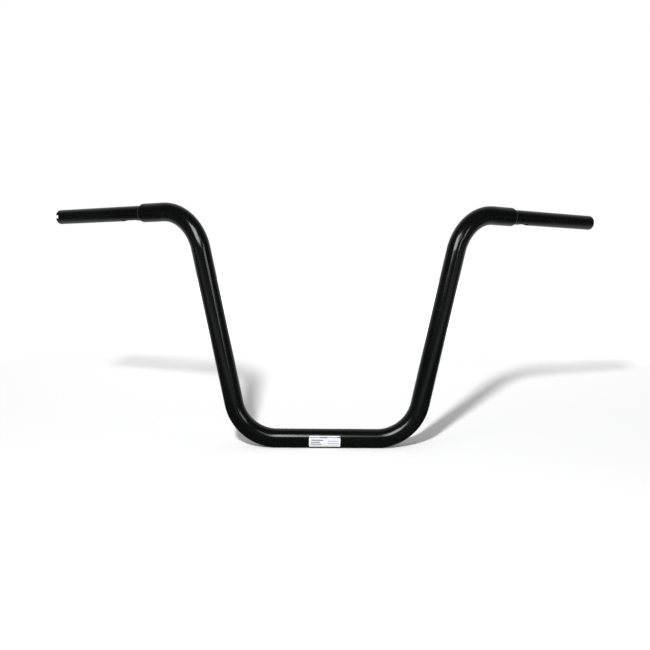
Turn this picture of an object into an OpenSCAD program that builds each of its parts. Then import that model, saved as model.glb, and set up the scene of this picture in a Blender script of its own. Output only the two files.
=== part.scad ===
// Ape hanger handlebar, bent from one tube, with thinner grip tubes welded into its ends.
// Millimetres. The origin is the centre of the clamp base. +Z is up, -Y is the front of the
// motorcycle, and the throttle end lies towards -X.

/* [Main tube] */
// Outside diameter of the main tube, which the riser clamps hold
main_d = 31.75; // [30:0.25:36]
// Wall of the main tube
main_wall = 3.175; // [2.5:0.125:3.75]
// Chamfer round each end of the main tube
main_chamfer = 0.8; // [0.4:0.1:1.2]

/* [Bends] */
// Straight length of the clamp base between its bends
base_straight = 166; // [130:1:260]
// Straight length of each upright
upright_len = 262; // [120:2:420]
// Straight length from each top bend to the end of the main tube
end_straight = 44.6; // [42:0.2:90]
// Bend radius to the tube's centreline
bend_r = 74; // [60:0.2:100]
// Lean of each upright away from the vertical
flare = 12.2; // [0:0.1:30]
// Sweep of the grips towards the rider
pullback = 33.8; // [5:0.2:50]
// Fall of the grips below the horizontal
droop = 1.2; // [0:0.1:12]
// How far bending draws the tube's surface in
bend_draw = 0.02; // [0.01:0.01:0.1]

/* [Grip tubes] */
// Outside diameter of the grip tubes, which grips and controls fit
grip_d = 25.4; // [22:0.1:26]
// Wall of the grip tubes
grip_wall = 2.4; // [1.6:0.1:3]
// Length from the end of the main tube to the end of the bar
grip_len = 201; // [150:1:260]
// Depth of each grip tube's spigot inside the main tube
socket_depth = 38; // [20:1:40]
// Radial gap between a spigot and the main tube's bore
spigot_gap = 0.25; // [0.2:0.05:0.35]
// Chamfer round the open end of each grip tube
grip_chamfer = 0.6; // [0.3:0.1:1]

/* [Weld] */
// Length of the fillet weld along the grip tube
weld_leg = 3.5; // [2:0.5:6]

/* [Throttle slots] */
// Width of each throttle sensor slot
slot_w = 5.5; // [3:0.5:8]
// Depth of each slot from the end of the bar
slot_depth = 6; // [3:0.5:12]

/* [Wire holes] */
// Width of each oblong wire hole
wire_w = 12.7; // [8:0.1:15]
// Length of the wire holes in the clutch side and the base, along their tubes
wire_l = 25.4; // [18:0.2:40]
// Distance from the end of the main tube to the middle of the clutch side's wire hole
wire_from_main = 28.4; // [26:0.2:60]
// Length of the throttle side's longer wire hole
throttle_wire_l = 35.6; // [24:0.2:44]
// Distance from the end of the main tube to the middle of the throttle side's wire hole
throttle_wire_from_main = 30.2; // [28:0.2:60]

/* [Label] */
// Length of the label along the base
label_l = 52; // [30:1:70]
// Angle that the label wraps round the base
label_wrap = 76; // [40:1:100]
// Angle from the front down to the middle of the label
label_drop = 13.8; // [0:0.1:20]
// Distance from the middle of the base to the middle of the label, towards the throttle end
label_shift = 4; // [0:1:30]
// Thickness of the label
label_t = 0.08; // [0.06:0.01:0.09]
// Radius of the label's corners
label_corner = 2; // [0.5:0.5:4]

/* [Hidden] */
$fn = 96;
// Length that a cut runs past the face it opens
cut_over = 1;
// Length that a straight runs on into each bend beside it
bend_lap = 0.4;

main_r = main_d / 2;
main_bore = main_d - 2 * main_wall;
grip_r = grip_d / 2;
grip_bore = grip_d - 2 * grip_wall;
spigot_d = main_bore - 2 * spigot_gap;

// The lower bends turn a heading along the base into the uprights' heading.
lower_turn = 90 - flare;
upright_dir = [sin(flare), 0, cos(flare)];
inboard_dir = [-cos(flare), 0, sin(flare)];
front_dir = [0, -1, 0];

// The top bends turn the uprights' heading into the grips' heading, out of the plane of the base.
grip_dir = [cos(droop) * cos(pullback), cos(droop) * sin(pullback), -sin(droop)];
top_turn = acos(upright_dir * grip_dir);
top_twist = atan2(grip_dir * front_dir, grip_dir * inboard_dir);

// Roll about a grip tube that brings its local +X to the underside.
bend_side = cos(top_twist) * inboard_dir + sin(top_twist) * front_dir;
end_x = cos(top_turn) * bend_side - sin(top_turn) * upright_dir;
end_y = cos(top_twist) * front_dir - sin(top_twist) * inboard_dir;
down_roll = atan2(-end_y.z, -end_x.z);

// Turns a piece that heads along +Z and curves towards +X so that it heads outwards and curves up.
module heading_out() {
    rotate([0, 90, 0]) rotate([0, 0, 180]) children();
}

// A stretch of bent round bar, from the origin along +Z and curving towards +X.
module bend(d, turn) {
    translate([bend_r, 0, 0])
        rotate([90, 0, 180])
            rotate_extrude(angle = turn)
                translate([bend_r, 0]) circle(d = d - 2 * bend_draw);
}

// Moves to the end of such a bend and takes its new heading as +Z.
module after_bend(turn) {
    translate([bend_r, 0, 0])
        rotate([0, turn, 0])
            translate([-bend_r, 0, 0]) children();
}

// Moves to the start of an upright, where the lower bend ends.
module at_upright() {
    heading_out()
        translate([0, 0, base_straight / 2])
            after_bend(lower_turn) children();
}

// Moves to the start of a top bend and turns the bend's plane towards the grip.
module at_top_bend() {
    at_upright()
        translate([0, 0, upright_len])
            rotate([0, 0, top_twist]) children();
}

// Moves to the end of the main tube, with +Z outwards along the grip and +X to the underside.
module at_main_end() {
    at_top_bend()
        after_bend(top_turn)
            translate([0, 0, end_straight])
                rotate([0, 0, down_roll]) children();
}

// The throttle side is the mirror image of the clutch side.
module throttle_side() {
    mirror([1, 0, 0]) children();
}

// Round bar along one half of the handlebar, from the base's straight to past the main tube's end.
module half_path(d, tail) {
    heading_out() translate([0, 0, base_straight / 2]) bend(d, lower_turn);
    at_upright() translate([0, 0, -bend_lap]) cylinder(d = d, h = upright_len + 2 * bend_lap);
    at_top_bend() bend(d, top_turn);
    at_main_end()
        translate([0, 0, -end_straight - bend_lap])
            cylinder(d = d, h = end_straight + bend_lap + tail);
}

// Round bar along the whole handlebar.
module bar_path(d, tail = 0) {
    rotate([0, 90, 0]) cylinder(d = d, h = base_straight + 2 * bend_lap, center = true);
    half_path(d, tail);
    throttle_side() half_path(d, tail);
}

// Cutter for a chamfer round the outside of a tube that ends at z = 0.
module end_chamfer(r, size) {
    rotate_extrude()
        polygon([
            [r - size - cut_over, cut_over],
            [r + cut_over, cut_over],
            [r + cut_over, -size - cut_over]
        ]);
}

// Cutter for an oblong wire hole through the +X wall of a tube that runs along Z.
module wire_cut(r, l) {
    rotate([0, 90, 0])
        linear_extrude(r + cut_over)
            union() {
                square([l - wire_w, wire_w], center = true);
                for (end = [-1, 1]) {
                    translate([end * (l - wire_w) / 2, 0]) circle(d = wire_w);
                }
            }
}

// Bent main tube, with open ends and a wire outlet under the middle of the base.
module main_tube() {
    color([0.05, 0.05, 0.05])
        difference() {
            bar_path(main_d);
            bar_path(main_bore, cut_over);
            at_main_end() end_chamfer(main_r, main_chamfer);
            throttle_side() at_main_end() end_chamfer(main_r, main_chamfer);
            rotate([0, 90, 0]) wire_cut(main_r, wire_l);
        }
}

// Grip tube in place: a spigot inside the main tube, then the full diameter to the end of the bar.
module grip_tube(hole_l, hole_from_main) {
    difference() {
        union() {
            translate([0, 0, -socket_depth]) cylinder(d = spigot_d, h = socket_depth + weld_leg);
            translate([0, 0, weld_leg]) cylinder(d = grip_d, h = grip_len - weld_leg);
        }
        translate([0, 0, -socket_depth - cut_over])
            cylinder(d = grip_bore, h = socket_depth + grip_len + 2 * cut_over);
        translate([0, 0, grip_len]) end_chamfer(grip_r, grip_chamfer);
        translate([0, 0, hole_from_main]) wire_cut(grip_r, hole_l);
    }
}

// Two slots across the end of a grip tube, front and back, for the throttle sensor's pins.
module throttle_slots() {
    translate([-slot_w / 2, -grip_r - cut_over, grip_len - slot_depth])
        cube([slot_w, grip_d + 2 * cut_over, slot_depth + cut_over]);
}

// Grip tube at the throttle end.
module throttle_grip_tube() {
    color([0.05, 0.05, 0.05])
        throttle_side() at_main_end() difference() {
            grip_tube(throttle_wire_l, throttle_wire_from_main);
            throttle_slots();
        }
}

// Grip tube at the clutch end.
module clutch_grip_tube() {
    color([0.05, 0.05, 0.05])
        at_main_end() grip_tube(wire_l, wire_from_main);
}

// Fillet weld in the corner between the main tube's end and the grip tube.
module weld() {
    rotate_extrude()
        polygon([
            [spigot_d / 2, 0],
            [main_r - main_chamfer, 0],
            [grip_r, weld_leg],
            [spigot_d / 2, weld_leg]
        ]);
}

// Weld at the throttle side.
module throttle_weld() {
    color([0.07, 0.07, 0.07])
        throttle_side() at_main_end() weld();
}

// Weld at the clutch side.
module clutch_weld() {
    color([0.07, 0.07, 0.07])
        at_main_end() weld();
}

// Outline of the label laid against the front, with rounded corners.
module label_outline() {
    label_h = 2 * (main_r + label_t) * sin(label_wrap / 2);
    square([label_l - 2 * label_corner, label_h], center = true);
    square([label_l, label_h - 2 * label_corner], center = true);
    for (sx = [-1, 1]) {
        for (sy = [-1, 1]) {
            translate([sx * (label_l / 2 - label_corner), sy * (label_h / 2 - label_corner)])
                circle(r = label_corner);
        }
    }
}

// Thin label wrapped on the front of the base.
module label() {
    color([0.93, 0.94, 0.95])
        translate([-label_shift, 0, 0])
            rotate([label_drop, 0, 0])
                intersection() {
                    rotate([0, 90, 0])
                        difference() {
                            cylinder(r = main_r + label_t, h = label_l, center = true);
                            cylinder(r = main_r, h = label_l + 2 * cut_over, center = true);
                        }
                    rotate([90, 0, 0]) linear_extrude(main_d) label_outline();
                }
}

main_tube();
throttle_grip_tube();
clutch_grip_tube();
throttle_weld();
clutch_weld();
label();
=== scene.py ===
"""Looks of a tall motorcycle handlebar: bent black tube, grip tubes, their welds and a label."""

import logging
import math
from dataclasses import dataclass, field
from enum import Enum

import bmesh
import bpy
from mathutils import Matrix, Vector

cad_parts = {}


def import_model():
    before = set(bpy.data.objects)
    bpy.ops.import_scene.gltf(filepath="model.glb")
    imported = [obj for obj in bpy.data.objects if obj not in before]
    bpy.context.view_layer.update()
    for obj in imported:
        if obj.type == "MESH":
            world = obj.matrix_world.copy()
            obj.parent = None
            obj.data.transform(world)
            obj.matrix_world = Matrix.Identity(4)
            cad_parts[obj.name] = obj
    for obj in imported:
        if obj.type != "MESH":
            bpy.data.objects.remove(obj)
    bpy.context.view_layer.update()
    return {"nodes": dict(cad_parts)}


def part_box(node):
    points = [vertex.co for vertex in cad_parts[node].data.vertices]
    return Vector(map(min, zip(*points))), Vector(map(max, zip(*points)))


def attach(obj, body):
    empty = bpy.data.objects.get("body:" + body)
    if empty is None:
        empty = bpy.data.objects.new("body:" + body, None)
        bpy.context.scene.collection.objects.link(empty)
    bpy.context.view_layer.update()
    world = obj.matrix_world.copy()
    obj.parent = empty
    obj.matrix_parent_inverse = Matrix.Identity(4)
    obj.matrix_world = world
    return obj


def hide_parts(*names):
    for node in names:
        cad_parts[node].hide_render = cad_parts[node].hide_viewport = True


LOG = logging.getLogger("handlebar")

MM = 0.001
PHOTO_WIDTH_PX = 650
BODY = "root"

Colour = tuple[float, float, float]


class Side(Enum):
    """Which end of the handlebar a piece belongs to, as the sign of its x."""

    THROTTLE = -1
    CLUTCH = 1


class Slot(Enum):
    """The record's material slots."""

    BLACK_COAT = "black_coat"
    WELD_COAT = "weld_coat"
    LABEL_VINYL = "label_vinyl"


class NodeTree:
    """Small helper that adds linked shader nodes to one tree."""

    # A Mix node's sockets share their names, so those for colours go by number.
    MIX_FIRST_COLOUR: int = 6
    MIX_SECOND_COLOUR: int = 7
    MIX_COLOUR_RESULT: int = 2

    def __init__(self, tree: bpy.types.NodeTree) -> None:
        """Empties a tree and keeps it.

        Args:
            tree: The node tree of a material, a world or a group.
        """
        self.tree = tree
        tree.nodes.clear()

    def add(self, kind: str, inputs: dict | None = None, **settings: object) -> bpy.types.Node:
        """Adds a node.

        Args:
            kind: The node's type name.
            inputs: Input sockets by name or number, each with a value or a socket to link from.
            settings: Properties of the node.

        Returns:
            The new node.
        """
        node = self.tree.nodes.new(kind)
        for name, value in settings.items():
            setattr(node, name, value)
        for key, value in (inputs or {}).items():
            if isinstance(value, bpy.types.NodeSocket):
                self.tree.links.new(value, node.inputs[key])
            else:
                node.inputs[key].default_value = value
        return node

    def maths(self, operation: str, *values: float | bpy.types.NodeSocket) -> bpy.types.NodeSocket:
        """Adds a Math node.

        Args:
            operation: The operation's name.
            values: Numbers or sockets, in order.

        Returns:
            The node's value socket.
        """
        node = self.add("ShaderNodeMath", dict(enumerate(values)), operation=operation)
        return node.outputs["Value"]

    def vector_maths(
        self, operation: str, *values: tuple | Vector | bpy.types.NodeSocket
    ) -> bpy.types.Node:
        """Adds a Vector Math node.

        Args:
            operation: The operation's name.
            values: Vectors or sockets, in order.

        Returns:
            The node.
        """
        return self.add("ShaderNodeVectorMath", dict(enumerate(values)), operation=operation)

    def ramp(
        self,
        value: bpy.types.NodeSocket,
        low: float,
        high: float,
        start: float = 0.0,
        end: float = 1.0,
    ) -> bpy.types.NodeSocket:
        """Adds a smooth clamped ramp.

        Args:
            value: The socket that drives it.
            low: The value where the ramp begins.
            high: The value where it ends.
            start: What it gives at and before low.
            end: What it gives at and after high.

        Returns:
            The ramp's result socket.
        """
        inputs = {"Value": value, "From Min": low, "From Max": high, "To Min": start, "To Max": end}
        node = self.add("ShaderNodeMapRange", inputs, interpolation_type="SMOOTHSTEP")
        return node.outputs["Result"]

    def blend(
        self,
        share: bpy.types.NodeSocket,
        first: Colour | bpy.types.NodeSocket,
        second: Colour | bpy.types.NodeSocket,
    ) -> bpy.types.NodeSocket:
        """Adds a Mix node for two colours.

        Args:
            share: How much of the second colour there is.
            first: A colour or a socket.
            second: A colour or a socket.

        Returns:
            The mixed colour's socket.
        """
        node = self.add("ShaderNodeMix", {"Factor": share}, data_type="RGBA")
        ends = ((self.MIX_FIRST_COLOUR, first), (self.MIX_SECOND_COLOUR, second))
        for number, value in ends:
            socket = node.inputs[number]
            if isinstance(value, bpy.types.NodeSocket):
                self.tree.links.new(value, socket)
            else:
                socket.default_value = (*value, 1.0)
        return node.outputs[self.MIX_COLOUR_RESULT]

    def finish(self, shader: bpy.types.NodeSocket) -> None:
        """Ends a material's tree with its surface.

        Args:
            shader: The surface's shader socket.
        """
        self.add("ShaderNodeOutputMaterial", {"Surface": shader})


@dataclass(frozen=True)
class BarPath:
    """Centreline of the bent bar, in metres and degrees.

    Each half runs along the base, up an upright and out along a grip.
    """

    main_r: float = 31.75 * MM / 2
    grip_r: float = 25.4 * MM / 2
    grip_bore_r: float = 20.6 * MM / 2
    base_straight: float = 166 * MM
    upright_len: float = 262 * MM
    end_straight: float = 44.6 * MM
    grip_len: float = 201 * MM
    bend_r: float = 74 * MM
    flare: float = 12.2
    pullback: float = 33.8
    droop: float = 1.2

    def upright_heading(self) -> Vector:
        """Returns the unit heading of the clutch side's upright."""
        lean = math.radians(self.flare)
        return Vector((math.sin(lean), 0.0, math.cos(lean)))

    def grip_heading(self) -> Vector:
        """Returns the unit heading of the clutch side's grip."""
        sweep = math.radians(self.pullback)
        fall = math.radians(self.droop)
        level = math.cos(fall)
        return Vector((level * math.cos(sweep), level * math.sin(sweep), -math.sin(fall)))

    def after_bend(self, start: Vector, before: Vector, after: Vector) -> Vector:
        """Returns where a bend ends.

        Args:
            start: The point where the bend begins.
            before: Unit heading before the bend.
            after: Unit heading after it.

        Returns:
            The point where the next straight begins.
        """
        turn = before.angle(after)
        inwards = (after - before * before.dot(after)).normalized()
        return start + (inwards * (1 - math.cos(turn)) + before * math.sin(turn)) * self.bend_r

    def shoulder_point(self) -> Vector:
        """Returns the centre of the main tube's clutch end."""
        along = Vector((1.0, 0.0, 0.0))
        point = self.after_bend(along * self.base_straight / 2, along, self.upright_heading())
        point = point + self.upright_heading() * self.upright_len
        point = self.after_bend(point, self.upright_heading(), self.grip_heading())
        return point + self.grip_heading() * self.end_straight

    def shoulder(self, side: Side) -> Matrix:
        """Returns the frame at one end of the main tube.

        Args:
            side: The end that is wanted.

        Returns:
            A turn and a place. Its Z runs outwards along the grip tube and its X points down.
        """
        point = self.shoulder_point()
        outwards = self.grip_heading()
        point.x *= side.value
        outwards.x *= side.value
        down = Vector((0.0, 0.0, -1.0))
        down = (down - outwards * down.dot(outwards)).normalized()
        across = outwards.cross(down)
        turn = Matrix((down, across, outwards)).transposed().to_4x4()
        return Matrix.Translation(point) @ turn


def coat_skin() -> bpy.types.ShaderNodeTree:
    """Builds the shared skin of baked powder: slow waves, fine grain and faint smudges.

    Returns:
        A node group that gives a height and two masks from Object coordinates.
    """
    name = "powder_skin"
    if name in bpy.data.node_groups:
        return bpy.data.node_groups[name]
    group = bpy.data.node_groups.new(name, "ShaderNodeTree")
    for label, default in (("Wave Scale", 160.0), ("Grain Scale", 1400.0), ("Grain Share", 0.15)):
        socket = group.interface.new_socket(label, in_out="INPUT", socket_type="NodeSocketFloat")
        socket.default_value = default
    for label in ("Height", "Smudge", "Speck"):
        group.interface.new_socket(label, in_out="OUTPUT", socket_type="NodeSocketFloat")
    nodes = NodeTree(group)
    entry = nodes.add("NodeGroupInput")
    where = nodes.add("ShaderNodeTexCoord").outputs["Object"]

    def noise(
        scale: float | bpy.types.NodeSocket, detail: float, rough: float = 0.5
    ) -> bpy.types.NodeSocket:
        """Adds a noise texture in Object coordinates.

        Args:
            scale: The texture's scale.
            detail: Its number of finer layers.
            rough: The share that each finer layer keeps.

        Returns:
            The texture's value socket.
        """
        inputs = {"Vector": where, "Scale": scale, "Detail": detail, "Roughness": rough}
        return nodes.add("ShaderNodeTexNoise", inputs).outputs["Fac"]

    wave = noise(entry.outputs["Wave Scale"], detail=1.5, rough=0.45)
    grain = noise(entry.outputs["Grain Scale"], detail=2.0)
    grain = nodes.maths("MULTIPLY", grain, entry.outputs["Grain Share"])
    outputs = {
        "Height": nodes.maths("ADD", wave, grain),
        "Smudge": nodes.ramp(noise(scale=11.0, detail=5.0, rough=0.62), low=0.38, high=0.72),
        "Speck": nodes.ramp(noise(scale=900.0, detail=0.0), low=0.72, high=0.84),
    }
    nodes.add("NodeGroupOutput", outputs)
    return group


@dataclass(frozen=True)
class PowderCoat:
    """Gloss black powder coat, baked on steel."""

    slot: Slot = Slot.BLACK_COAT
    colour: Colour = (0.0033, 0.0037, 0.0037)
    dusty_colour: Colour = (0.0052, 0.0056, 0.0057)
    roughness: float = 0.13
    smudge_roughness: float = 0.05
    wave_scale: float = 160.0
    grain_scale: float = 1400.0
    grain_share: float = 0.15
    bump_strength: float = 0.06
    bump_distance: float = 0.1 * MM

    def start(self, name: str) -> tuple[bpy.types.Material, NodeTree, dict]:
        """Starts a material with this coat's colour, roughness and normal.

        Args:
            name: The material's name.

        Returns:
            The material, its nodes and the sockets of the coat by name.
        """
        material = bpy.data.materials.new(name)
        material.use_nodes = True
        nodes = NodeTree(material.node_tree)
        values = {
            "Wave Scale": self.wave_scale,
            "Grain Scale": self.grain_scale,
            "Grain Share": self.grain_share,
        }
        skin = nodes.add("ShaderNodeGroup", node_tree=coat_skin())
        for label, value in values.items():
            skin.inputs[label].default_value = value
        dust = nodes.maths("MAXIMUM", skin.outputs["Smudge"], skin.outputs["Speck"])
        haze = nodes.maths("MULTIPLY", skin.outputs["Smudge"], self.smudge_roughness)
        bump = {
            "Strength": self.bump_strength,
            "Distance": self.bump_distance,
            "Height": skin.outputs["Height"],
        }
        coat = {
            "Base Color": nodes.blend(dust, self.colour, self.dusty_colour),
            "Roughness": nodes.maths("ADD", haze, self.roughness),
            "Normal": nodes.add("ShaderNodeBump", bump).outputs["Normal"],
        }
        return material, nodes, coat

    def material(self) -> bpy.types.Material:
        """Returns the coat's material, made once."""
        name = f"{self.slot.value}_finish"
        if name in bpy.data.materials:
            return bpy.data.materials[name]
        material, nodes, coat = self.start(name)
        nodes.finish(nodes.add("ShaderNodeBsdfPrincipled", coat).outputs["BSDF"])
        return material


@dataclass(frozen=True)
class BoreFinish:
    """Powder coat outside a grip tube, fading to bare drawn steel inside its bore."""

    coat: PowderCoat
    path: BarPath
    steel: Colour = (0.085, 0.078, 0.070)
    scale: Colour = (0.030, 0.026, 0.024)
    steel_roughness: float = 0.42
    steel_metallic: float = 0.8
    wall_start: float = 0.3 * MM
    wall_end: float = 0.6 * MM
    overspray: float = 16 * MM
    sprayed_mouth: float = 2 * MM
    mouth_bareness: float = 0.25
    stain_scale: float = 140.0
    stain_low: float = 0.42
    stain_high: float = 0.66

    def material(self) -> bpy.types.Material:
        """Returns the grip tubes' material, made once."""
        name = "grip_tube_finish"
        if name in bpy.data.materials:
            return bpy.data.materials[name]
        material, nodes, coat = self.coat.start(name)
        where = nodes.add("ShaderNodeTexCoord").outputs["Object"]
        mirrored = nodes.vector_maths("ABSOLUTE", where).outputs["Vector"]
        heading = tuple(self.path.grip_heading())
        start = tuple(self.path.shoulder_point())
        away = nodes.vector_maths("SUBTRACT", mirrored, start).outputs["Vector"]
        off_axis = nodes.vector_maths("CROSS_PRODUCT", away, heading).outputs["Vector"]
        radius = nodes.vector_maths("LENGTH", off_axis).outputs["Value"]
        along = nodes.vector_maths("DOT_PRODUCT", away, heading).outputs["Value"]
        bore = self.path.grip_bore_r
        inside = nodes.ramp(radius, bore + self.wall_start, bore + self.wall_end, 1.0, 0.0)
        mouth = self.path.grip_len
        deep = nodes.ramp(
            along, mouth - self.overspray, mouth - self.sprayed_mouth, 1.0, self.mouth_bareness
        )
        bare = nodes.maths("MULTIPLY", inside, deep)
        stain_inputs = {"Vector": where, "Scale": self.stain_scale, "Detail": 4.0}
        stain = nodes.add("ShaderNodeTexNoise", stain_inputs).outputs["Fac"]
        rust = nodes.ramp(stain, self.stain_low, self.stain_high)
        steel = nodes.blend(rust, self.steel, self.scale)
        gap = nodes.maths("SUBTRACT", self.steel_roughness, coat["Roughness"])
        inputs = {
            "Base Color": nodes.blend(bare, coat["Base Color"], steel),
            "Roughness": nodes.maths("MULTIPLY_ADD", gap, bare, coat["Roughness"]),
            "Metallic": nodes.maths("MULTIPLY", bare, self.steel_metallic),
            "Normal": coat["Normal"],
        }
        nodes.finish(nodes.add("ShaderNodeBsdfPrincipled", inputs).outputs["BSDF"])
        return material


@dataclass(frozen=True)
class PrintAndHighlightBar:
    """One bar of the label (printed lines, the dark line under the band and the painted highlight
    band along the top), in millimetres of the flat label from its lower left corner.
    """

    u: float
    v: float
    length: float
    height: float
    colour: Colour
    soft: float = 0.35


@dataclass(frozen=True)
class LabelVinyl:
    """Gloss white vinyl with plain printed bars, a dark line across it and a painted highlight band
    along its top.
    """

    white: Colour = (0.94, 0.945, 0.95)
    tint: Colour = (0.85, 0.88, 0.92)
    roughness: float = 0.28
    slate: Colour = (0.15, 0.195, 0.22)
    pale: Colour = (0.55, 0.59, 0.62)
    # Colours of the thin dark line under the band: its darker stretches, then the line itself.
    rule_dark: Colour = (0.12, 0.14, 0.25)
    rule_thin: Colour = (0.30, 0.29, 0.36)
    # Colour of the painted highlight band along the label's top.
    highlight_band_colour: Colour = (0.76, 0.745, 0.80)
    dark_line: float = 1.7
    pale_line: float = 1.6
    cloud_scale: float = 0.13
    cloud_low: float = 0.42
    cloud_high: float = 0.62
    grain_scale: float = 2.4
    bump_strength: float = 0.05
    bump_distance: float = 0.05 * MM

    def bars(self, length: float, height: float) -> list[PrintAndHighlightBar]:
        """Lists the bars: a painted highlight band along the top, a dark line under it and printed
        lines below.

        Args:
            length: The label's length in millimetres.
            height: The flat label's height in millimetres.

        Returns:
            The bars, in the order in which they are printed.
        """
        # The top band is a painted highlight: the tube's highlight streak carried on across the
        # label as a pale lavender strip.
        painted_highlight_band = PrintAndHighlightBar(length / 2, height * 0.95, length, height * 0.14, self.highlight_band_colour)
        # A thin dark line across the label under the band, darker in two stretches.
        rule_level = height * 0.865
        rule = PrintAndHighlightBar(length / 2, rule_level, length, 1.2, self.rule_thin)
        rule_ends = [
            PrintAndHighlightBar(length * 0.46, rule_level, length * 0.24, 1.9, self.rule_dark),
            PrintAndHighlightBar(length * 0.95, rule_level, length * 0.10, 2.0, self.rule_dark),
        ]
        margin = length * 0.07
        dark_lines = [
            PrintAndHighlightBar(margin + reach / 2, height * level, reach, self.dark_line, self.slate)
            for level, reach in ((0.65, 20.0), (0.48, 14.0), (0.31, 17.0))
        ]
        pale_lines = [
            PrintAndHighlightBar(length * 0.77, height * level, 18.0, self.pale_line, self.pale)
            for level in (0.57, 0.39)
        ]
        foot_line = PrintAndHighlightBar(length / 2, height * 0.13, length - 2 * margin, 0.9, self.pale)
        return [painted_highlight_band, rule, *rule_ends, *dark_lines, *pale_lines, foot_line]

    def material(self, length: float, height: float) -> bpy.types.Material:
        """Makes the label's material.

        Args:
            length: The label's length in metres.
            height: The flat label's height in metres.

        Returns:
            The material, which reads the label's UV map in millimetres.
        """
        material = bpy.data.materials.new(f"{Slot.LABEL_VINYL.value}_finish")
        material.use_nodes = True
        nodes = NodeTree(material.node_tree)
        flat = nodes.add("ShaderNodeUVMap", uv_map="flat_label").outputs["UV"]
        size = (length / MM, height / MM, 1.0)
        place = nodes.vector_maths("MULTIPLY", flat, size).outputs["Vector"]
        cloud_inputs = {"Vector": place, "Scale": self.cloud_scale, "Detail": 2.0}
        cloud = nodes.add("ShaderNodeTexNoise", cloud_inputs).outputs["Fac"]
        tinted = nodes.ramp(cloud, self.cloud_low, self.cloud_high)
        colour = nodes.blend(tinted, self.white, self.tint)
        # The painted highlight band is laid first, then the dark line and the printed lines.
        for bar in self.bars(size[0], size[1]):
            from_middle = nodes.vector_maths("SUBTRACT", place, (bar.u, bar.v, 0.0))
            parts = nodes.add("ShaderNodeSeparateXYZ", {"Vector": from_middle.outputs["Vector"]})
            masks = []
            for axis, reach in (("X", bar.length / 2), ("Y", bar.height / 2)):
                off = nodes.maths("ABSOLUTE", parts.outputs[axis])
                masks.append(nodes.ramp(off, reach - bar.soft / 2, reach + bar.soft / 2, 1.0, 0.0))
            colour = nodes.blend(nodes.maths("MULTIPLY", *masks), colour, bar.colour)
        grain_inputs = {"Vector": place, "Scale": self.grain_scale, "Detail": 2.0}
        grain = nodes.add("ShaderNodeTexNoise", grain_inputs).outputs["Fac"]
        bump = {"Strength": self.bump_strength, "Distance": self.bump_distance, "Height": grain}
        inputs = {
            "Base Color": colour,
            "Roughness": self.roughness,
            "Normal": nodes.add("ShaderNodeBump", bump).outputs["Normal"],
        }
        nodes.finish(nodes.add("ShaderNodeBsdfPrincipled", inputs).outputs["BSDF"])
        return material


def finished_piece(
    name: str, bm: bmesh.types.BMesh, material: bpy.types.Material, smooth: bool = True
) -> bpy.types.Object:
    """Turns a bmesh into a shown object at the origin.

    Args:
        name: The object's name.
        bm: The mesh, already in place. It is freed.
        material: The finish.
        smooth: Whether its faces are shaded smooth.

    Returns:
        The new object.
    """
    for face in bm.faces:
        face.smooth = smooth
    mesh = bpy.data.meshes.new(name)
    bm.to_mesh(mesh)
    bm.free()
    mesh.materials.append(material)
    piece = bpy.data.objects.new(name, mesh)
    bpy.context.scene.collection.objects.link(piece)
    return piece


@dataclass
class Tubes:
    """The main tube and both grip tubes, which keep their CAD shapes."""

    path: BarPath
    coat: PowderCoat = field(default_factory=PowderCoat)

    def dress(self, nodes: dict[str, bpy.types.Object]) -> list[str]:
        """Gives each tube its finish.

        Args:
            nodes: The CAD nodes by name.

        Returns:
            The names of the tubes.
        """
        bored = BoreFinish(self.coat, self.path).material()
        finishes = {
            "main_tube": self.coat.material(),
            "throttle_grip_tube": bored,
            "clutch_grip_tube": bored,
        }
        for name, material in finishes.items():
            slots = nodes[name].material_slots
            if slots:
                slots[0].material = material
            else:
                nodes[name].data.materials.append(material)
        return list(finishes)


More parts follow.
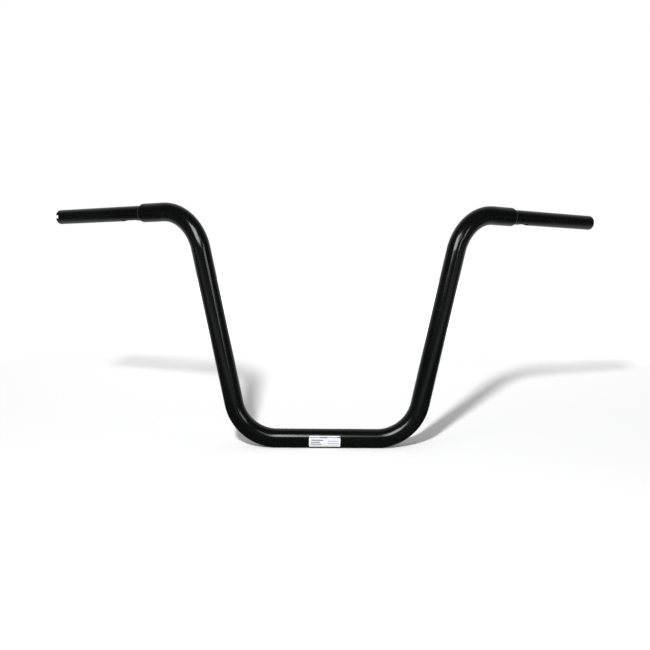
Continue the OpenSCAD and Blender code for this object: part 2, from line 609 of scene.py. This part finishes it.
@dataclass
class WeldBead:
    """Fillet weld round a grip tube, laid as overlapping ripples."""

    path: BarPath
    side: Side
    leg: float = 3.5 * MM
    seat_r: float = 12.45 * MM
    shelf_r: float = 15.0 * MM
    bulge: float = 0.35 * MM
    ripple_height: float = 0.11 * MM
    ripple_count: int = 34
    ripple_lag: float = 0.9
    groove_share: float = 0.12
    groove_level: float = 0.42
    toe_gap: float = 0.02 * MM
    merge_distance: float = 0.0005 * MM
    arc_points: int = 10
    spin_steps: int = 272
    coat: PowderCoat = PowderCoat(
        slot=Slot.WELD_COAT,
        colour=(0.0038, 0.0042, 0.0042),
        roughness=0.16,
        bump_strength=0.1,
    )

    def name(self) -> str:
        """Returns the CAD node that this bead stands for."""
        return f"{self.side.name.lower()}_weld"

    def profile(self) -> list[tuple[float, float]]:
        """Returns the bead's section as (radius, height) points, toe first."""
        toe = Vector((self.path.grip_r + self.toe_gap, self.leg))
        shelf = Vector((self.shelf_r, 0.0))
        chord = shelf - toe
        out = Vector((-chord.y, chord.x)).normalized()
        points = []
        for i in range(self.arc_points + 1):
            share = i / self.arc_points
            crown = self.bulge * math.sin(math.pi * share)
            points.append(tuple(toe + chord * share + out * crown))
        return [*points, (self.seat_r, 0.0), (self.seat_r, self.leg)]

    def ripple(self, angle: float, radius: float, height: float) -> float:
        """Gives how far the surface stands proud at a point of the bead.

        Args:
            angle: Angle round the tube in radians.
            radius: Distance from the tube's axis.
            height: Distance from the main tube's end.

        Returns:
            The offset along the radius, which fades out at both toes.
        """
        share = min(max(height / self.leg, 0.0), 1.0)
        across = math.sin(math.pi * share)
        lag = self.ripple_lag * (1 - across)
        phase = (angle * self.ripple_count / math.tau + lag) % 1.0
        if phase > self.groove_share:
            scallop = 1 - (2 * phase - 1) ** 2
        else:
            scallop = phase / self.groove_share * self.groove_level
        fade = 1.0 if radius > self.path.grip_r else 0.0
        return self.ripple_height * scallop * across * fade

    def build(self) -> bpy.types.Object:
        """Builds one bead.

        Returns:
            The finished piece, riding on the handlebar.
        """
        bm = bmesh.new()
        verts = [bm.verts.new((radius, 0.0, height)) for radius, height in self.profile()]
        edges = [bm.edges.new((a, b)) for a, b in zip(verts, [*verts[1:], verts[0]])]
        bmesh.ops.spin(
            bm,
            geom=[*verts, *edges],
            cent=(0.0, 0.0, 0.0),
            axis=(0.0, 0.0, 1.0),
            angle=math.tau,
            steps=self.spin_steps,
            use_merge=True,
        )
        bmesh.ops.remove_doubles(bm, verts=bm.verts, dist=self.merge_distance)
        for vert in bm.verts:
            radius = math.hypot(vert.co.x, vert.co.y)
            proud = self.ripple(math.atan2(vert.co.y, vert.co.x), radius, vert.co.z)
            stretch = (radius + proud) / radius
            vert.co.x *= stretch
            vert.co.y *= stretch
        bmesh.ops.transform(bm, matrix=self.path.shoulder(self.side), verts=bm.verts)
        bmesh.ops.recalc_face_normals(bm, faces=bm.faces)
        piece = finished_piece(f"{self.name()}_bead", bm, self.coat.material())
        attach(piece, BODY)
        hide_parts(self.name())
        return piece


@dataclass
class Label:
    """Thin vinyl label, wrapped on the front of the base."""

    path: BarPath
    length: float = 52 * MM
    wrap: float = 76.0
    drop: float = 13.8
    shift: float = 4 * MM
    thickness: float = 0.08 * MM
    lift: float = 0.004 * MM
    corner_r: float = 2 * MM
    corner_steps: int = 6
    strip_angle: float = 2.0
    vinyl: LabelVinyl = LabelVinyl()

    def flat_height(self) -> float:
        """Returns the label's height before it is wrapped."""
        return math.radians(self.wrap) * self.path.main_r

    def wrapped(self, flat: Vector) -> Vector:
        """Lays a point of the flat label on the base.

        Args:
            flat: The point, with x along the label, y up it and z its thickness.

        Returns:
            Its place on the base.
        """
        angle = flat.y / self.path.main_r - math.radians(self.drop)
        radius = self.path.main_r + self.lift + flat.z
        return Vector((flat.x - self.shift, -radius * math.cos(angle), radius * math.sin(angle)))

    def build(self) -> bpy.types.Object:
        """Builds the label.

        Returns:
            The finished piece, riding on the handlebar.
        """
        height = self.flat_height()
        bm = bmesh.new()
        bmesh.ops.create_grid(bm, x_segments=1, y_segments=1, size=0.5)
        bmesh.ops.scale(bm, vec=(self.length, height, 1.0), verts=bm.verts)
        bmesh.ops.bevel(
            bm,
            geom=bm.verts[:],
            offset=self.corner_r,
            offset_type="OFFSET",
            affect="VERTICES",
            segments=self.corner_steps,
            profile=0.5,
            material=-1,
        )
        strips = round(self.wrap / self.strip_angle)
        for i in range(1, strips):
            level = height * (i / strips - 0.5)
            bmesh.ops.bisect_plane(
                bm,
                geom=[*bm.verts, *bm.edges, *bm.faces],
                plane_co=(0.0, level, 0.0),
                plane_no=(0.0, 1.0, 0.0),
            )
        uv_layer = bm.loops.layers.uv.new("flat_label")
        for face in bm.faces:
            for loop in face.loops:
                place = loop.vert.co
                loop[uv_layer].uv = (place.x / self.length + 0.5, place.y / height + 0.5)
        bmesh.ops.recalc_face_normals(bm, faces=bm.faces)
        if sum(face.normal.z for face in bm.faces) < 0:
            bmesh.ops.reverse_faces(bm, faces=bm.faces)
        bmesh.ops.solidify(bm, geom=bm.faces, thickness=self.thickness)
        lowest = min(vert.co.z for vert in bm.verts)
        for vert in bm.verts:
            vert.co.z -= lowest
            vert.co = self.wrapped(vert.co)
        bmesh.ops.recalc_face_normals(bm, faces=bm.faces)
        material = self.vinyl.material(self.length, height)
        piece = finished_piece("printed_label", bm, material, smooth=False)
        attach(piece, BODY)
        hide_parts("label")
        return piece


@dataclass(frozen=True)
class SoftCard:
    """A soft light card that only reflections see.

    Angles are in degrees and distances in metres, both from the handlebar.
    """

    name: str
    azimuth: float
    elevation: float
    width: float
    height: float
    radiance: float
    distance: float
    feather: float
    upright: bool = False


@dataclass(frozen=True)
class FloorFinish:
    """Plain pale floor that its lamp lights up to white. Distances are in metres from the base.

    Reflections see levels of its own: dim under the base, paler behind it and in front of it.
    """

    white: Colour = (0.36, 0.36, 0.363)
    far_white: Colour = (0.525, 0.525, 0.529)
    whitening_start: float = -0.6
    whitening_end: float = 1.9
    glow: float = 0.02
    edge_start: float = 1.55
    edge_end: float = 2.9
    unlit_start: float = 0.85
    unlit_end: float = 1.75
    behind_start: float = 0.05
    behind_end: float = 0.40
    under_level: float = 0.02
    behind_level: float = 0.5
    front_start: float = 0.3
    front_end: float = 1.0
    front_level: float = 0.36
    fade_start: float = 1.4
    fade_end: float = 4.2
    faded_share: float = 0.12

    def material(self) -> bpy.types.Material:
        """Makes the floor's material.

        Returns:
            The material, which reads Object coordinates.
        """
        material = bpy.data.materials.new("floor_finish")
        material.use_nodes = True
        nodes = NodeTree(material.node_tree)
        path = nodes.add("ShaderNodeLightPath")
        where = nodes.add("ShaderNodeTexCoord").outputs["Object"]
        backwards = nodes.add("ShaderNodeSeparateXYZ", {"Vector": where}).outputs["Y"]
        forwards = nodes.maths("MULTIPLY", backwards, -1.0)
        reach = nodes.vector_maths("LENGTH", where).outputs["Value"]
        away = nodes.ramp(backwards, self.whitening_start, self.whitening_end)
        colour = nodes.blend(away, self.white, self.far_white)
        diffuse = nodes.add("ShaderNodeBsdfDiffuse", {"Color": colour})
        edge = nodes.ramp(reach, self.edge_start, self.edge_end)
        unlit = nodes.ramp(forwards, self.unlit_start, self.unlit_end)
        far = nodes.maths("MAXIMUM", edge, unlit)
        glow = nodes.maths("MULTIPLY_ADD", far, 1.0 - self.glow, self.glow)
        camera_glow = nodes.maths("MULTIPLY", glow, path.outputs["Is Camera Ray"])
        white = nodes.add("ShaderNodeEmission", {"Strength": camera_glow})
        lit = nodes.add("ShaderNodeAddShader", {0: diffuse.outputs[0], 1: white.outputs[0]})
        behind = nodes.ramp(
            backwards, self.behind_start, self.behind_end, self.under_level, self.behind_level
        )
        front = nodes.ramp(forwards, self.front_start, self.front_end, 0.0, self.front_level)
        fade = nodes.ramp(reach, self.fade_start, self.fade_end, 1.0, self.faded_share)
        mirror_level = nodes.maths("MULTIPLY_ADD", front, fade, behind)
        mirror = nodes.add("ShaderNodeEmission", {"Strength": mirror_level})
        shaders = {0: path.outputs["Is Glossy Ray"], 1: lit.outputs[0], 2: mirror.outputs[0]}
        nodes.finish(nodes.add("ShaderNodeMixShader", shaders).outputs[0])
        return material


@dataclass
class Studio:
    """Plain pale floor, white surroundings, soft lights and the camera."""

    floor_level: float
    floor_reach: float = 14.0
    floor_finish: FloorFinish = FloorFinish()
    camera_azimuth: float = -1.36
    camera_elevation: float = 3.83
    camera_roll: float = 0.57
    camera_distance: float = 1.6331
    focal_px: float = 984.0
    sensor_width_mm: float = 36.0
    target: tuple[float, float, float] = (-0.00505, 0.0, 0.1897)
    surroundings: float = 0.75
    mirrored_front: float = 0.015
    mirrored_back: float = 0.55
    shadow_lamp: tuple[float, float, float] = (-0.295, -1.80, 1.0)
    shadow_lamp_width: float = 0.11
    shadow_lamp_height: float = 0.20
    shadow_lamp_power: float = 33.5
    key_azimuth: float = -25.0
    key_elevation: float = 38.0
    key_strength: float = 1.0
    key_blur: float = 40.0
    cards: tuple[SoftCard, ...] = (
        SoftCard(
            name="left_softbox",
            azimuth=-14.4,
            elevation=32.2,
            width=0.66,
            height=0.78,
            radiance=9.2,
            distance=1.28,
            feather=0.12,
            upright=True,
        ),
        SoftCard(
            name="overhead_right_card",
            azimuth=10.0,
            elevation=29.0,
            width=0.5,
            height=0.3,
            radiance=2.2,
            distance=1.26,
            feather=0.6,
        ),
        SoftCard(
            name="right_strip_card",
            azimuth=41.0,
            elevation=15.2,
            width=0.42,
            height=0.8,
            radiance=5.2,
            distance=3.0,
            feather=0.35,
        ),
        SoftCard(
            name="right_low_card",
            azimuth=28.6,
            elevation=8.6,
            width=0.32,
            height=0.76,
            radiance=4.8,
            distance=2.15,
            feather=0.6,
        ),
    )

    def direction(self, azimuth: float, elevation: float) -> Vector:
        """Returns the unit direction from the handlebar towards a place in the studio.

        Args:
            azimuth: Degrees round from the front, towards +X.
            elevation: Degrees above the horizon.

        Returns:
            The direction.
        """
        a = math.radians(azimuth)
        e = math.radians(elevation)
        return Vector((math.sin(a) * math.cos(e), -math.cos(a) * math.cos(e), math.sin(e)))

    def make_camera(self) -> bpy.types.Object:
        """Makes the camera at the photograph's place, with its roll and focal length."""
        data = bpy.data.cameras.new("camera")
        data.sensor_width = self.sensor_width_mm
        data.lens = data.sensor_width * self.focal_px / PHOTO_WIDTH_PX
        data.clip_start = 0.05
        data.clip_end = 100.0
        camera = bpy.data.objects.new("camera", data)
        back = self.direction(self.camera_azimuth, self.camera_elevation)
        turn = (-back).to_track_quat("-Z", "Y").to_matrix().to_4x4()
        roll = Matrix.Rotation(math.radians(self.camera_roll), 4, "Z")
        place = Matrix.Translation(Vector(self.target) + back * self.camera_distance)
        camera.matrix_world = place @ turn @ roll
        bpy.context.scene.collection.objects.link(camera)
        bpy.context.scene.camera = camera
        return camera

    def make_world(self) -> None:
        """Makes the surroundings, which are white to the camera and pale behind in reflections."""
        world = bpy.data.worlds.new("studio")
        world.use_nodes = True
        bpy.context.scene.world = world
        nodes = NodeTree(world.node_tree)
        path = nodes.add("ShaderNodeLightPath")
        where = nodes.add("ShaderNodeTexCoord").outputs["Generated"]
        parts = nodes.add("ShaderNodeSeparateXYZ", {"Vector": where})
        behind = nodes.ramp(
            parts.outputs["Y"],
            low=-0.05,
            high=0.9,
            start=self.mirrored_front,
            end=self.mirrored_back,
        )
        mirrored = nodes.maths("MULTIPLY", behind, path.outputs["Is Glossy Ray"])
        not_glossy = nodes.maths("SUBTRACT", 1.0, path.outputs["Is Glossy Ray"])
        plain = nodes.maths("MULTIPLY_ADD", not_glossy, self.surroundings, mirrored)
        gap = nodes.maths("SUBTRACT", 1.0, plain)
        strength = nodes.maths("MULTIPLY_ADD", gap, path.outputs["Is Camera Ray"], plain)
        background = nodes.add("ShaderNodeBackground", {"Strength": strength})
        background.inputs["Color"].default_value = (1.0, 1.0, 1.0, 1.0)
        nodes.add("ShaderNodeOutputWorld", {"Surface": background.outputs["Background"]})

    def make_floor(self) -> bpy.types.Object:
        """Makes the floor, level with the underside of the base."""
        bm = bmesh.new()
        bmesh.ops.create_circle(bm, cap_ends=True, segments=64, radius=self.floor_reach)
        bmesh.ops.recalc_face_normals(bm, faces=bm.faces)
        floor = finished_piece("studio_floor", bm, self.floor_finish.material(), smooth=False)
        floor.location.z = self.floor_level
        return floor

    def make_card(self, card: SoftCard) -> bpy.types.Object:
        """Makes one card.

        Args:
            card: Its size, place and strength.

        Returns:
            The card, which faces the handlebar and shows only in reflections.
        """
        bm = bmesh.new()
        bmesh.ops.create_grid(bm, x_segments=1, y_segments=1, size=0.5)
        bmesh.ops.scale(bm, vec=(card.width, card.height, 1.0), verts=bm.verts)
        material = bpy.data.materials.new(f"{card.name}_glow")
        material.use_nodes = True
        nodes = NodeTree(material.node_tree)
        where = nodes.add("ShaderNodeTexCoord").outputs["Object"]
        parts = nodes.add("ShaderNodeSeparateXYZ", {"Vector": where})
        falls = []
        for axis, edge in (("X", card.width / 2), ("Y", card.height / 2)):
            off = nodes.maths("ABSOLUTE", parts.outputs[axis])
            falls.append(nodes.ramp(off, edge * (1 - card.feather), edge, 1.0, 0.0))
        strength = nodes.maths("MULTIPLY", nodes.maths("MULTIPLY", *falls), card.radiance)
        nodes.finish(nodes.add("ShaderNodeEmission", {"Strength": strength}).outputs[0])
        piece = finished_piece(card.name, bm, material, smooth=False)
        towards = self.direction(card.azimuth, card.elevation)
        place = Matrix.Translation(Vector(self.target) + towards * card.distance)
        facing = Vector((towards.x, towards.y, 0.0)) if card.upright else towards
        piece.matrix_world = place @ facing.to_track_quat("Z", "Y").to_matrix().to_4x4()
        piece.visible_camera = False
        piece.visible_diffuse = False
        piece.visible_transmission = False
        piece.visible_shadow = False
        return piece

    def make_key(self) -> bpy.types.Object:
        """Makes the soft key sun, which reflections don't see."""
        data = bpy.data.lights.new("key_lamp", "SUN")
        data.energy = self.key_strength
        data.angle = math.radians(self.key_blur)
        key = bpy.data.objects.new("key_lamp", data)
        towards = self.direction(self.key_azimuth, self.key_elevation)
        key.rotation_euler = (-towards).to_track_quat("-Z", "Y").to_euler()
        key.visible_glossy = False
        bpy.context.scene.collection.objects.link(key)
        return key

    def make_shadow_lamp(self, floor: bpy.types.Object) -> bpy.types.Object:
        """Makes the near lamp that lights only the floor, evenly, and casts the handlebar's shadow.

        Args:
            floor: The only piece that it lights.

        Returns:
            The lamp's object.
        """
        data = bpy.data.lights.new("shadow_lamp", "AREA")
        data.shape = "ELLIPSE"
        data.size = self.shadow_lamp_width
        data.size_y = self.shadow_lamp_height
        data.energy = self.shadow_lamp_power
        data.use_nodes = True
        nodes = NodeTree(data.node_tree)
        even = nodes.add("ShaderNodeLightFalloff", {"Strength": 1.0}).outputs["Constant"]
        glow = nodes.add("ShaderNodeEmission", {"Strength": even})
        nodes.add("ShaderNodeOutputLight", {"Surface": glow.outputs[0]})
        lamp = bpy.data.objects.new("shadow_lamp", data)
        lamp.location = self.shadow_lamp
        lamp.rotation_euler = lamp.location.to_track_quat("Z", "Y").to_euler()
        lamp.visible_glossy = False
        bpy.context.scene.collection.objects.link(lamp)
        lit = bpy.data.collections.new("floor_only")
        lit.objects.link(floor)
        lamp.light_linking.receiver_collection = lit
        return lamp

    def build(self) -> None:
        """Builds the whole studio."""
        scene = bpy.context.scene
        scene.view_settings.view_transform = "Standard"
        self.make_world()
        floor = self.make_floor()
        for card in self.cards:
            self.make_card(card)
        self.make_key()
        self.make_shadow_lamp(floor)
        self.make_camera()


def main() -> None:
    """Builds and dresses the handlebar, then the studio round it."""
    logging.basicConfig(level=logging.INFO, format="%(name)s: %(message)s")
    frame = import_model()
    path = BarPath()
    tubes = Tubes(path)
    for name in tubes.dress(frame["nodes"]):
        LOG.info("dressed %s", name)
    for side in Side:
        LOG.info("built %s", WeldBead(path, side).build().name)
    LOG.info("built %s", Label(path).build().name)
    low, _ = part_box("main_tube")
    Studio(floor_level=low.z).build()
    LOG.info("built the studio")


if __name__ == "__main__":
    main()
